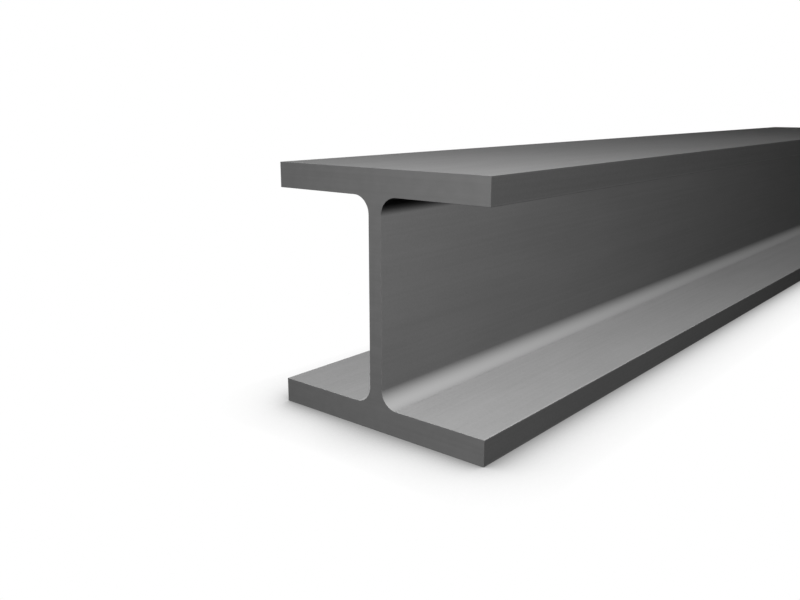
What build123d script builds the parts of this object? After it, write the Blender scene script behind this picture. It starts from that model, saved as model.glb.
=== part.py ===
"""A short cut length of hot-rolled, parallel-flange steel H beam.

The beam is one solid: two flat flanges joined by an upright web, rolled from one billet and sawn square at
both ends. Its section is the same all along. Where the web runs into a flange the rolls leave a quarter-round
root, and where a flange ends they leave its long edges square, with a slight rounding.

The beam stands as it is laid down, web upright, on its bottom flange. X runs across the flanges, Y along the
beam and Z up. The origin is in the middle of the bottom flange's underside, halfway along.
"""

import os

from build123d import *

# Driving dimensions, in millimetres
section_height = 100.0  # over both flanges
flange_width = 100.0
flange_thickness = 10.0
web_thickness = 6.0
root_radius = 7.0  # in the four corners between web and flanges
toe_radius = 0.5  # on the eight long edges of the flanges
beam_length = 650.0  # from one saw cut to the other


def flange_at(underside):
    """One flange of the section, its underside at this height."""
    with Locations((0, underside)):
        Rectangle(flange_width, flange_thickness, align=(Align.CENTER, Align.MIN))


def corners_by_reach(section):
    """The section's corners in groups, from those on the web out to those on the flanges' edges."""
    return section.vertices().group_by(lambda corner: abs(corner.X))


def rolled_section():
    """The H outline, upright in the XZ plane and standing on Z = 0."""
    with BuildSketch(Plane.XZ) as section:
        flange_at(0)
        flange_at(section_height - flange_thickness)
        Rectangle(web_thickness, section_height, align=(Align.CENTER, Align.MIN))
        fillet(corners_by_reach(section)[0], root_radius)
        fillet(corners_by_reach(section)[-1], toe_radius)
    return section.sketch


def h_beam():
    """The section drawn out along Y, half of the beam's length each way."""
    return extrude(rolled_section(), beam_length / 2, both=True)


def main():
    os.makedirs("parts", exist_ok=True)
    beam = h_beam()
    beam.label = "h_beam"
    export_step(beam, "parts/h_beam.step")
    print("h_beam volume", round(beam.volume), "mm3, size", beam.bounding_box().size)


main()
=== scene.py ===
# %% [markdown]
# # A short length of rolled steel H beam
#
# The measured part comes first. It is one solid, so everything below either dresses that solid or lights it.
# Its box is read before anything is added to the scene.

import math

import bmesh
import bpy
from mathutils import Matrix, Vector


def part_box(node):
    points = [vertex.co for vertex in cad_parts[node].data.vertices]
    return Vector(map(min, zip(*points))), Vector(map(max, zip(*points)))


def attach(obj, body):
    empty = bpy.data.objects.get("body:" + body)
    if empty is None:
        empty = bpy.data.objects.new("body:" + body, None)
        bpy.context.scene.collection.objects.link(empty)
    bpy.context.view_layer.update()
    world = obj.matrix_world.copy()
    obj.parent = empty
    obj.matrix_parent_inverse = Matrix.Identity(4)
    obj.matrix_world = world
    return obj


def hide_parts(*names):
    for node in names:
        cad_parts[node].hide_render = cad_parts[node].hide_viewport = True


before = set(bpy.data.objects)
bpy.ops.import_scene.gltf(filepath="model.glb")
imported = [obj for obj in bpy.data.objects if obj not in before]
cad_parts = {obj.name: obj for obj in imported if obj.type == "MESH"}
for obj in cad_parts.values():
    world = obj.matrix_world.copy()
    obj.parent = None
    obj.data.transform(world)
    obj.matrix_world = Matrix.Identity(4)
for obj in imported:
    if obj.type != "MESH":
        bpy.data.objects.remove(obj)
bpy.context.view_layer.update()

# %% [markdown]
# ## Sizes
#
# A section table gives a beam in millimetres: height, width, web, flange and root. The three outer sizes
# are read off the measured solid, so that the model can't drift from it, and the rest are written out
# here. They could all be typed in metres, but a helper that turns millimetres into Blender's metres keeps
# them readable, and a second one turns them back for printing.

# %% Name the sizes of the section


def mm(size):
    """Millimetres as metres."""
    return size / 1000


def in_mm(size):
    """Metres as millimetres."""
    return round(size * 1000, 2)


low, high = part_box("h_beam")
section_height = high.z - low.z
flange_width = high.x - low.x
beam_length = high.y - low.y
flange_thickness = mm(10.0)
web_thickness = mm(6.0)
root_radius = mm(7.0)
edge_radius = mm(0.1)  # of the toes and of the outlines of the saw cuts
print("height, width, length in mm:", [in_mm(size) for size in (section_height, flange_width, beam_length)])

# %% [markdown]
# ## The camera
#
# The photograph looks down the beam from just outside its near end, so the long edges run together quickly.
# The angle could be guessed by eye, but the edges of both flanges and the corners of the near end pin it
# down: a 36 mm lens, tilted down by not quite 14 degrees and turned 40 degrees to the left.

# %% Set up the camera
camera_place = (0.193, -0.538, 0.122)
camera_tilt_down = 13.75  # degrees
camera_turn_left = 40.35  # degrees
camera_data = bpy.data.cameras.new("photo_camera")
camera_data.sensor_width = 36.0
camera_data.lens = 36.0
camera_data.clip_start = 0.01
camera_data.clip_end = 50.0
camera = bpy.data.objects.new("photo_camera", camera_data)
camera.location = camera_place
camera.rotation_euler = (math.radians(90 - camera_tilt_down), 0, math.radians(camera_turn_left))
bpy.context.scene.collection.objects.link(camera)
bpy.context.scene.camera = camera
print("camera at", camera_place)

# %% [markdown]
# ## Rolling the section
#
# A mill squeezes a hot billet between four rolls until web and flanges stand out of it. The model goes the
# same way: a slab as thick as the web is cut across at the flanges' inner faces, and the strips above and
# below the cuts are pushed out sideways. Three boxes set against each other would look the same from afar,
# but they leave hidden walls inside, and there would be no edge to round between web and flange. Extruding
# keeps one closed skin.

# %% Cut a slab where the flanges begin
beam_mesh = bmesh.new()
bmesh.ops.create_cube(beam_mesh, size=1.0)
bmesh.ops.scale(beam_mesh, vec=(web_thickness, beam_length, section_height), verts=beam_mesh.verts)
bmesh.ops.translate(beam_mesh, vec=(0, 0, section_height / 2), verts=beam_mesh.verts)
for cut_height in (flange_thickness, section_height - flange_thickness):
    everything = beam_mesh.verts[:] + beam_mesh.edges[:] + beam_mesh.faces[:]
    bmesh.ops.bisect_plane(beam_mesh, geom=everything, plane_co=(0, 0, cut_height), plane_no=(0, 0, 1))
print("slab:", len(beam_mesh.faces), "faces")

# %% Push the flanges out
# A face looks squarely along an axis when its normal has nearly its whole length there.
squarely = 0.99
overhang = (flange_width - web_thickness) / 2


def is_flange_strip(face, side):
    """True for a face of the slab that looks to this side and lies in a flange's thickness."""
    middle = face.calc_center_median().z
    in_flange = middle < flange_thickness or middle > section_height - flange_thickness
    return in_flange and face.normal.x * side > squarely


for side in (-1, 1):
    beam_mesh.normal_update()
    strips = [face for face in beam_mesh.faces if is_flange_strip(face, side)]
    pushed = bmesh.ops.extrude_face_region(beam_mesh, geom=strips)["geom"]
    outer = [part for part in pushed if isinstance(part, bmesh.types.BMVert)]
    bmesh.ops.translate(beam_mesh, vec=(side * overhang, 0, 0), verts=outer)
    bmesh.ops.delete(beam_mesh, geom=strips, context="FACES_ONLY")
print("rolled blank:", len(beam_mesh.faces), "faces, volume", round(beam_mesh.calc_volume() * 1e6, 1), "cm3")

# %% [markdown]
# ## Roots
#
# The rolls leave a quarter-round root where the web runs into a flange. It could be a strip of its own,
# laid in the corner, but it is the same steel and has to run into both faces without a seam. A bevel with
# a profile of 0.5 is a true arc that touches both faces, so each root is a bevel of the long edge between
# them. The four edges are picked out by where they lie.

# %% Pick out edges by where they lie
near_enough = mm(0.01)


def runs_along(edge):
    """True for an edge that runs along the beam."""
    start, end = (vert.co for vert in edge.verts)
    return abs(start.y - end.y) > beam_length / 2


def long_edges_at(reach):
    """The beam's long edges that lie this far to either side of the middle."""
    along = [edge for edge in beam_mesh.edges if runs_along(edge)]
    return [edge for edge in along if abs(abs(edge.verts[0].co.x) - reach) < near_enough]


def lies_inside(edge):
    """True for an edge on a flange's inner face, and not in its thickness."""
    lowest = flange_thickness - near_enough
    highest = section_height - flange_thickness + near_enough
    return lowest < edge.verts[0].co.z < highest


roots = [edge for edge in long_edges_at(web_thickness / 2) if lies_inside(edge)]
print(len(roots), "edges between web and flanges")

# %% Round the roots


def round_off(edges, radius, steps):
    """Bevels these edges to an arc."""
    bmesh.ops.bevel(
        beam_mesh, geom=edges, offset=radius, offset_type="OFFSET", affect="EDGES",
        segments=steps, profile=0.5, material=-1, clamp_overlap=True,
    )


round_off(roots, root_radius, steps=16)
print("roots rounded:", len(beam_mesh.faces), "faces")

# %% [markdown]
# ## Toes and saw cuts
#
# The flanges end in nearly square toes. Last of all the beam is sawn to length, cold, which leaves a fine
# arris round the outline of each cut. Both are a tenth of a millimetre here: enough for a hair of light on
# an upper edge, and too little for a dark line under a lower one. They could be two bevels, but the second
# would have to cut across the first one's tiny faces. One bevel of all these edges gives clean corners.
# Before it, the edges that extruding left across the flat faces are dissolved, so that no bevel runs along
# them.

# %% Break the outer edges
beam_mesh.normal_update()
bmesh.ops.dissolve_limit(
    beam_mesh, angle_limit=math.radians(0.1), verts=beam_mesh.verts[:], edges=beam_mesh.edges[:],
)
beam_mesh.normal_update()
toes = long_edges_at(flange_width / 2)
cuts = [face for face in beam_mesh.faces if abs(face.normal.y) > squarely]
outlines = [edge for edge in beam_mesh.edges if any(face in cuts for face in edge.link_faces)]
round_off(toes + outlines, edge_radius, steps=2)
print(len(toes), "toes and", len(cuts), "cuts:", len(beam_mesh.faces), "faces")
print("closed:", all(edge.is_manifold for edge in beam_mesh.edges))

# %% [markdown]
# ## One clean object
#
# The skin becomes one object at the origin, with its place in its mesh. Its rolled faces and its sawn ends
# look different on a real beam, so each face is told which of two finishes it takes. Everything is shaded
# smooth, and weighted normals let the large flat faces rule at their borders: they stay flat, and only the
# arcs are smooth. Sharp edges marked by hand would do the same, one by one.

# %% Turn the mesh into the beam
SCALE_SLOT, SAWN_SLOT = 0, 1
beam_mesh.normal_update()
for face in beam_mesh.faces:
    face.smooth = True
    face.material_index = SAWN_SLOT if abs(face.normal.y) > squarely else SCALE_SLOT
beam_data = bpy.data.meshes.new("rolled_beam")
beam_mesh.to_mesh(beam_data)
beam_mesh.free()
beam = bpy.data.objects.new("rolled_beam", beam_data)
bpy.context.scene.collection.objects.link(beam)
weighted = beam.modifiers.new("weighted_normals", "WEIGHTED_NORMAL")
weighted.weight = 100
print("beam mesh:", len(beam_data.vertices), "points,", len(beam_data.polygons), "faces")

# %% [markdown]
# ## Making materials
#
# Colours are written as they look on a screen and turned to linear in one place. One small function adds a
# node, sets its values and links its inputs, so each material below reads as a list of what it is made of.

# %% Helpers for materials


def colour(code):
    """An sRGB hex colour as linear red, green, blue and alpha."""
    parts = [int(code[i:i + 2], 16) / 255 for i in (1, 3, 5)]
    return tuple(p / 12.92 if p <= 0.04045 else ((p + 0.055) / 1.055) ** 2.4 for p in parts) + (1.0,)


def add(tree, kind, values=None, links=None, **settings):
    """Adds a node: settings are its own, values go on its inputs and links join an input to an output."""
    node = tree.nodes.new(kind)
    for name, value in settings.items():
        setattr(node, name, value)
    for name, value in (values or {}).items():
        node.inputs[name].default_value = value
    for name, output in (links or {}).items():
        tree.links.new(output, node.inputs[name])
    return node


def new_material(name):
    """An empty material and its node tree."""
    material = bpy.data.materials.new(name)
    material.use_nodes = True
    material.node_tree.nodes.clear()
    return material, material.node_tree


# A Mix node that is set to colours takes them on these two inputs and gives the result on this output.
FIRST, SECOND, MIXED = 6, 7, 2
print("#828282 in linear light is", round(colour("#828282")[0], 3))

# %% [markdown]
# ## Mill scale: painted highlight and shade in the roots, paler toes
#
# Steel comes out of the rolls with a hard grey skin of iron oxide, the mill scale. Its colour is changed
# here in three places. The lower roots are painted paler: a painted highlight along the curve. The upper
# roots are
# painted darker: a painted shade under the top flange. The toes are paler too, partly handling wear and
# partly a painted highlight along the edge. All of these could be painted on a UV map, but they follow from
# the section itself, so they are worked out from where a point lies. The section is alike in all four
# quarters, and an absolute value folds them into one.

# %% Measure where a point lies in the section
mill_scale, tree = new_material("mill_scale_on_hot_rolled_steel")
half_height = section_height / 2
place = add(tree, "ShaderNodeTexCoord").outputs["Object"]
height = add(tree, "ShaderNodeSeparateXYZ", links={"Vector": place}).outputs["Z"]
centred = add(tree, "ShaderNodeMapping", {"Location": (0, 0, -half_height)}, {"Vector": place})
folded = add(tree, "ShaderNodeVectorMath", links={0: centred.outputs[0]}, operation="ABSOLUTE")
quarter = add(tree, "ShaderNodeSeparateXYZ", links={"Vector": folded.outputs[0]})
from_middle, from_half_height = quarter.outputs["X"], quarter.outputs["Z"]
print("the section is folded about its middle,", in_mm(half_height), "mm up")

# %% Find the roots
# One ramp rises towards the web and one towards the flange. Their product is 0 at both ends of the arc and
# a half in its middle, so it is doubled.
web_face = web_thickness / 2
inner_face = half_height - flange_thickness
nearer_web = add(
    tree, "ShaderNodeMapRange", {"From Min": web_face + root_radius, "From Max": web_face},
    {"Value": from_middle},
)
nearer_flange = add(
    tree, "ShaderNodeMapRange", {"From Min": inner_face - root_radius, "From Max": inner_face},
    {"Value": from_half_height},
)
round_the_arc = add(
    tree, "ShaderNodeMath", links={0: nearer_web.outputs[0], 1: nearer_flange.outputs[0]},
    operation="MULTIPLY",
)
doubled = add(tree, "ShaderNodeMath", {1: 2.0}, {0: round_the_arc.outputs[0]}, operation="MULTIPLY")
print("roots end", in_mm(web_face + root_radius), "mm from the middle of the web")

# %% Tell lower roots from upper ones
# The ramp towards the flange stays full beyond its inner face, so whatever lies further out than a small
# margin is left off. Then what is low down is a lower root, and what remains is an upper one.
margin = mm(1.0)
between_flanges = add(
    tree, "ShaderNodeMath", {1: inner_face + margin}, {0: from_half_height}, operation="LESS_THAN",
)
any_root = add(
    tree, "ShaderNodeMath", links={0: doubled.outputs[0], 1: between_flanges.outputs[0]},
    operation="MULTIPLY",
)
low_down = add(tree, "ShaderNodeMath", {1: half_height}, {0: height}, operation="LESS_THAN")
# The lower roots carry a painted highlight: they are painted paler.
lower_root_highlight = add(
    tree, "ShaderNodeMath", links={0: any_root.outputs[0], 1: low_down.outputs[0]}, operation="MULTIPLY",
)
# The upper roots carry a painted shade: they are painted darker.
upper_root_shade = add(
    tree, "ShaderNodeMath", links={0: any_root.outputs[0], 1: lower_root_highlight.outputs[0]}, operation="SUBTRACT",
)
print("roots under", in_mm(half_height), "mm are lower ones")

# %% Find the toes
# A toe is near a flange's edge and near one of its two faces. The distance to it is the length of a vector
# made of both. The paler toe, partly wear and partly a painted highlight, starts at one distance and is full
# at a smaller one, and even there most of the scale's own colour stays.
toe_mark_starts, toe_mark_full, toe_mark_strength = mm(0.9), mm(0.2), 0.2
flange_middle = half_height - flange_thickness / 2
from_edge = add(tree, "ShaderNodeMath", {0: flange_width / 2}, {1: from_middle}, operation="SUBTRACT")
off_middle = add(tree, "ShaderNodeMath", {1: flange_middle}, {0: from_half_height}, operation="SUBTRACT")
either_way = add(tree, "ShaderNodeMath", links={0: off_middle.outputs[0]}, operation="ABSOLUTE")
from_face = add(
    tree, "ShaderNodeMath", {0: flange_thickness / 2}, {1: either_way.outputs[0]}, operation="SUBTRACT",
)
both = add(tree, "ShaderNodeCombineXYZ", links={"X": from_edge.outputs[0], "Y": from_face.outputs[0]})
from_toe = add(tree, "ShaderNodeVectorMath", links={0: both.outputs[0]}, operation="LENGTH")
# This makes the toes paler, partly as handling wear and partly as a painted highlight along the edge.
toe_wear_and_highlight = add(
    tree, "ShaderNodeMapRange", {"From Min": toe_mark_starts, "From Max": toe_mark_full, "To Max": toe_mark_strength},
    {"Value": from_toe.outputs["Value"]},
)
print("toes turn paler over their last", in_mm(toe_mark_starts), "mm")

# %% [markdown]
# ## Mill scale: what it looks like
#
# Close to, the skin has three marks. It is mottled where it grew thicker, in patches about 15 mm wide
# drawn out to 60 mm by the rolling. Fine streaks run along the beam where the rolls dragged. And it is
# grainy, like fine sandpaper. All three are noise in Object coordinates, stretched by a Mapping node to a
# size in millimetres. Photographs of real scale would be quicker, but they repeat on a long piece. From
# the photograph's distance the skin looks like one even grey, so the marks change it by two parts in a
# hundred.

# %% Mottle, streaks and grain
patch_width, patch_length = mm(15), mm(60)
patch_scale = (1 / patch_width, 1 / patch_length, 1 / patch_width)
longer_patches = add(tree, "ShaderNodeMapping", {"Scale": patch_scale}, {"Vector": place})
patches = add(
    tree, "ShaderNodeTexNoise", {"Scale": 1.0, "Detail": 3.0}, {"Vector": longer_patches.outputs[0]},
)
# Real roll streaks are a tenth of a millimetre wide. They are drawn at 1.4 mm, or a pixel would hide them.
streak_width, streak_length = mm(1.4), mm(180)
streak_scale = (1 / streak_width, 1 / streak_length, 1 / streak_width)
drawn_out = add(tree, "ShaderNodeMapping", {"Scale": streak_scale}, {"Vector": place})
streaks = add(tree, "ShaderNodeTexNoise", {"Scale": 1.0, "Detail": 2.0}, {"Vector": drawn_out.outputs[0]})
# Real grain is about 0.1 mm. It is drawn at 0.8 mm for the same reason.
grain_size = mm(0.8)
grain = add(tree, "ShaderNodeTexNoise", {"Scale": 1 / grain_size, "Detail": 2.0}, {"Vector": place})
print("patches", in_mm(patch_width), "x", in_mm(patch_length), "mm")
print("streaks", in_mm(streak_width), "mm, grain", in_mm(grain_size), "mm")

# %% Add the three marks up
# The grain counts in full. The sum of all three mostly lies between the two values that tone is taken from.
streak_share, patch_share = 0.7, 1.1
thickest, thinnest = 1.1, 1.7
fine_marks = add(
    tree, "ShaderNodeMath", {1: streak_share}, {0: streaks.outputs[0], 2: grain.outputs[0]},
    operation="MULTIPLY_ADD",
)
all_marks = add(
    tree, "ShaderNodeMath", {1: patch_share}, {0: patches.outputs[0], 2: fine_marks.outputs[0]},
    operation="MULTIPLY_ADD",
)
tone = add(
    tree, "ShaderNodeMapRange", {"From Min": thickest, "From Max": thinnest},
    {"Value": all_marks.outputs[0]},
)
print("marks count: grain 1, streaks", streak_share, "and patches", patch_share)

# %% Paint the scale
# A dull mid grey with no tint: thick scale a shade darker, thin scale a shade paler. Over it go the places
# found above, each mixed in by how much of it there is at a point: a painted highlight in the lower roots, a
# painted shade in the upper roots, and toes made paler partly by wear and partly as a painted highlight.
paint = add(
    tree, "ShaderNodeMix", {FIRST: colour("#7F7F7F"), SECOND: colour("#858585")}, {0: tone.outputs[0]},
    data_type="RGBA",
)
for where, code, amount in (
    # painted highlight in the lower roots
    ("painted highlight in lower roots", "#979797", lower_root_highlight),
    # painted shade in the upper roots
    ("painted shade in upper roots", "#606060", upper_root_shade),
    # toes: partly wear, partly painted highlight
    ("toes worn and painted paler", "#A8A8A8", toe_wear_and_highlight),
):
    paint = add(
        tree, "ShaderNodeMix", {SECOND: colour(code)}, {0: amount.outputs[0], FIRST: paint.outputs[MIXED]},
        data_type="RGBA",
    )
    print(where, "go towards", code)

# %% [markdown]
# ## Mill scale: how it takes the light
#
# Oxide is no metal to the eye: there is no mirror in it, so Metallic is 0. A dielectric usually starts from
# 0.5 of roughness and of specular level. This skin is porous and powdery, and the photograph shows no
# highlight in it and next to nothing of the white studio, even at a glancing angle. So both are matched to
# that: a roughness of about 0.8 that follows the mottle, and a specular level close to nothing. Streaks and
# grain stand out a little as a bump.

# %% Finish the scale
# Blender's noise mostly lies between these two values.
noise_low, noise_high = 0.35, 0.65
smoothest, roughest = 0.74, 0.86
relief_depth = mm(0.02)
dullness = add(
    tree, "ShaderNodeMapRange",
    {"From Min": noise_low, "From Max": noise_high, "To Min": smoothest, "To Max": roughest},
    {"Value": patches.outputs[0]},
)
relief = add(
    tree, "ShaderNodeBump", {"Strength": 0.5, "Distance": relief_depth}, {"Height": fine_marks.outputs[0]},
)
scale_shader = add(
    tree, "ShaderNodeBsdfPrincipled",
    {"Metallic": 0.0, "Specular IOR Level": 0.005},
    {"Base Color": paint.outputs[MIXED], "Roughness": dullness.outputs[0], "Normal": relief.outputs[0]},
)
add(tree, "ShaderNodeOutputMaterial", links={"Surface": scale_shader.outputs["BSDF"]})
beam_data.materials.append(mill_scale)
print(mill_scale.name, "has", len(tree.nodes), "nodes")

# %% [markdown]
# ## Sawn steel on the ends
#
# A band saw goes down through the beam and leaves its marks straight across the cut, a row of fine lines a
# millimetre or so apart. Left in the yard, the bare steel turns as grey and dull as the scale beside it,
# which is how the photograph shows it. The lines could be real grooves, but they are hundredths of a
# millimetre deep, so noise drawn out sideways gives them as tone and bump. A second noise is the tarnish.

# %% Saw lines and tarnish
sawn_steel, tree = new_material("tarnished_sawn_steel")
place = add(tree, "ShaderNodeTexCoord").outputs["Object"]
line_length, line_spacing, tarnish_size = mm(90), mm(1.1), mm(5)
line_scale = (1 / line_length, 1 / line_length, 1 / line_spacing)
across_the_cut = add(tree, "ShaderNodeMapping", {"Scale": line_scale}, {"Vector": place})
saw_lines = add(
    tree, "ShaderNodeTexNoise", {"Scale": 1.0, "Detail": 2.0}, {"Vector": across_the_cut.outputs[0]},
)
tarnish = add(tree, "ShaderNodeTexNoise", {"Scale": 1 / tarnish_size, "Detail": 4.0}, {"Vector": place})
print("saw lines", in_mm(line_spacing), "mm apart, tarnish in spots of", in_mm(tarnish_size), "mm")

# %% Paint the sawn ends
# The sum of both noises mostly lies between the two values that tone is taken from.
line_share = 0.8
darkest, palest = 0.65, 1.15
marks = add(
    tree, "ShaderNodeMath", {1: line_share}, {0: saw_lines.outputs[0], 2: tarnish.outputs[0]},
    operation="MULTIPLY_ADD",
)
tone = add(
    tree, "ShaderNodeMapRange", {"From Min": darkest, "From Max": palest}, {"Value": marks.outputs[0]},
)
sawn_paint = add(
    tree, "ShaderNodeMix", {FIRST: colour("#808080"), SECOND: colour("#858585")}, {0: tone.outputs[0]},
    data_type="RGBA",
)
print("marks count: tarnish 1 and saw lines", line_share)

# %% Finish the sawn ends
# Tarnish takes the shine off bare steel, so it is finished as the scale is, only a little smoother.
smoothest, roughest = 0.72, 0.84
dullness = add(
    tree, "ShaderNodeMapRange",
    {"From Min": noise_low, "From Max": noise_high, "To Min": smoothest, "To Max": roughest},
    {"Value": tarnish.outputs[0]},
)
relief = add(
    tree, "ShaderNodeBump", {"Strength": 0.5, "Distance": relief_depth}, {"Height": saw_lines.outputs[0]},
)
sawn_shader = add(
    tree, "ShaderNodeBsdfPrincipled",
    {"Metallic": 0.0, "Specular IOR Level": 0.005},
    {"Base Color": sawn_paint.outputs[MIXED], "Roughness": dullness.outputs[0], "Normal": relief.outputs[0]},
)
add(tree, "ShaderNodeOutputMaterial", links={"Surface": sawn_shader.outputs["BSDF"]})
beam_data.materials.append(sawn_steel)
print(sawn_steel.name, "has", len(tree.nodes), "nodes")

# %% [markdown]
# ## Floor and background
#
# The beam lies on a white floor that runs into a white background with no line between them, and only a
# soft dark edge on the floor shows that the steel touches it. More light would bleach the floor, but it
# would bleach the beam too. So floor and world are simply white to whatever looks at them, the camera,
# reflections and see-through surfaces, and dark to the light that scatters from them. The dark edge is
# ambient occlusion: how much of the sky a point of the floor can see within 30 mm, made steeper by a
# power.

# %% Lay the floor
floor_drop = mm(0.05)  # so that floor and flange don't share a plane
floor_reach = 6.0  # metres from the middle to each side
floor_mesh = bmesh.new()
bmesh.ops.create_grid(floor_mesh, x_segments=1, y_segments=1, size=floor_reach)
floor_data = bpy.data.meshes.new("floor")
floor_mesh.to_mesh(floor_data)
floor_mesh.free()
floor = bpy.data.objects.new("floor", floor_data)
floor.location = (0, 0, -floor_drop)
bpy.context.scene.collection.objects.link(floor)
print("floor laid", in_mm(floor_drop), "mm under the beam")

# %% Paint the floor


def seen_directly(tree):
    """1 for camera, glossy and transmission rays, and 0 for diffuse ones."""
    path = add(tree, "ShaderNodeLightPath")
    either = add(
        tree, "ShaderNodeMath", links={0: path.outputs["Is Camera Ray"], 1: path.outputs["Is Glossy Ray"]},
        operation="MAXIMUM",
    )
    return add(
        tree, "ShaderNodeMath", links={0: either.outputs[0], 1: path.outputs["Is Transmission Ray"]},
        operation="MAXIMUM",
    ).outputs[0]


shade_reach, shade_steepness = mm(30), 1.7
floor_paint, tree = new_material("floor_paint")
contact = add(tree, "ShaderNodeAmbientOcclusion", {"Distance": shade_reach}, samples=16)
steeper = add(
    tree, "ShaderNodeMath", {1: shade_steepness}, {0: contact.outputs["AO"]}, operation="POWER",
)
white = add(tree, "ShaderNodeEmission", {"Color": (1, 1, 1, 1)}, {"Strength": steeper.outputs[0]})
dark = add(tree, "ShaderNodeBsdfDiffuse", {"Color": colour("#080808")})
floor_mix = add(
    tree, "ShaderNodeMixShader",
    links={0: seen_directly(tree), 1: dark.outputs[0], 2: white.outputs[0]},
)
add(tree, "ShaderNodeOutputMaterial", links={"Surface": floor_mix.outputs[0]})
floor_data.materials.append(floor_paint)
print(floor_paint.name, "has", len(tree.nodes), "nodes")

# %% Set the world
world = bpy.data.worlds.new("studio")
bpy.context.scene.world = world
world.use_nodes = True
tree = world.node_tree
tree.nodes.clear()
sky = add(tree, "ShaderNodeBackground", {"Color": (1, 1, 1, 1)}, {"Strength": seen_directly(tree)})
add(tree, "ShaderNodeOutputWorld", links={"Surface": sky.outputs[0]})
bpy.context.scene.view_settings.view_transform = "Standard"
print("view transform:", bpy.context.scene.view_settings.view_transform)

# %% [markdown]
# ## Lamps
#
# The light in the photograph comes from above the near end, a little to the right, and fades along the beam.
# The top flange throws no shadow on the web and no face glows in another, as if the light went through the
# steel. A single sun could not fade. So there are a few small lamps that cast no shadow, the beam doesn't
# light itself, and a Light Falloff node keeps each lamp's strength the same at any distance: how brightly a
# face is lit depends only on the angles between lamp and face. Three lamps over the near end make what the
# photograph shows. One from behind and one from the left keep the far sides from going black, and stay out
# of reflections, because seen at a glancing angle they would brighten the far end of the web.

# %% Keep the beam from lighting itself
beam.visible_diffuse = False
print("the beam lights itself:", beam.visible_diffuse)

# %% Hang the lamps
# Places and aims are in metres and powers in watts. They were found by comparing renders with the photograph
# at points on each face, and rounded.


def hang(name, place, aim, power, size, in_reflections=True):
    """A square lamp that shines from its place towards its aim and casts no shadow."""
    lamp_data = bpy.data.lights.new(name, "AREA")
    lamp_data.shape = "SQUARE"
    lamp_data.size = size
    lamp_data.energy = power
    lamp_data.use_shadow = False
    lamp_data.use_nodes = True
    lamp_tree = lamp_data.node_tree
    lamp_tree.nodes.clear()
    falloff = add(lamp_tree, "ShaderNodeLightFalloff", {"Strength": 1.0})
    glow = add(lamp_tree, "ShaderNodeEmission", links={"Strength": falloff.outputs["Constant"]})
    add(lamp_tree, "ShaderNodeOutputLight", links={"Surface": glow.outputs[0]})
    lamp = bpy.data.objects.new(name, lamp_data)
    lamp.location = place
    lamp.rotation_euler = (Vector(aim) - Vector(place)).to_track_quat("-Z", "Y").to_euler()
    lamp.visible_camera = False
    lamp.visible_glossy = in_reflections
    bpy.context.scene.collection.objects.link(lamp)
    print(name, "at", place, "with", power, "W")


hang("overhead_lamp", place=(0.07, -0.40, 0.295), aim=(0.27, -0.55, 0.045), power=11.0, size=mm(50))
hang("high_lamp", place=(0.175, -0.27, 0.535), aim=(0.095, -0.69, 0.08), power=6.9, size=mm(60))
hang("front_lamp", place=(0.11, -0.53, 0.245), aim=(-0.19, 0.54, 0.135), power=7.7, size=mm(50))
hang(
    "back_lamp", place=(0.0, 1.10, 0.10), aim=(-0.30, -0.14, 0.09), power=15.8, size=mm(60),
    in_reflections=False,
)
hang(
    "left_lamp", place=(-0.80, -0.33, 0.06), aim=(0.09, 0.37, 0.12), power=8.0, size=mm(60),
    in_reflections=False,
)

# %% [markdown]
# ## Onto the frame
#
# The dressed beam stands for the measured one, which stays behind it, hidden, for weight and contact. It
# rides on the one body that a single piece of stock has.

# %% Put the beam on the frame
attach(beam, "root")
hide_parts("h_beam")
print(beam.name, "stands for h_beam")
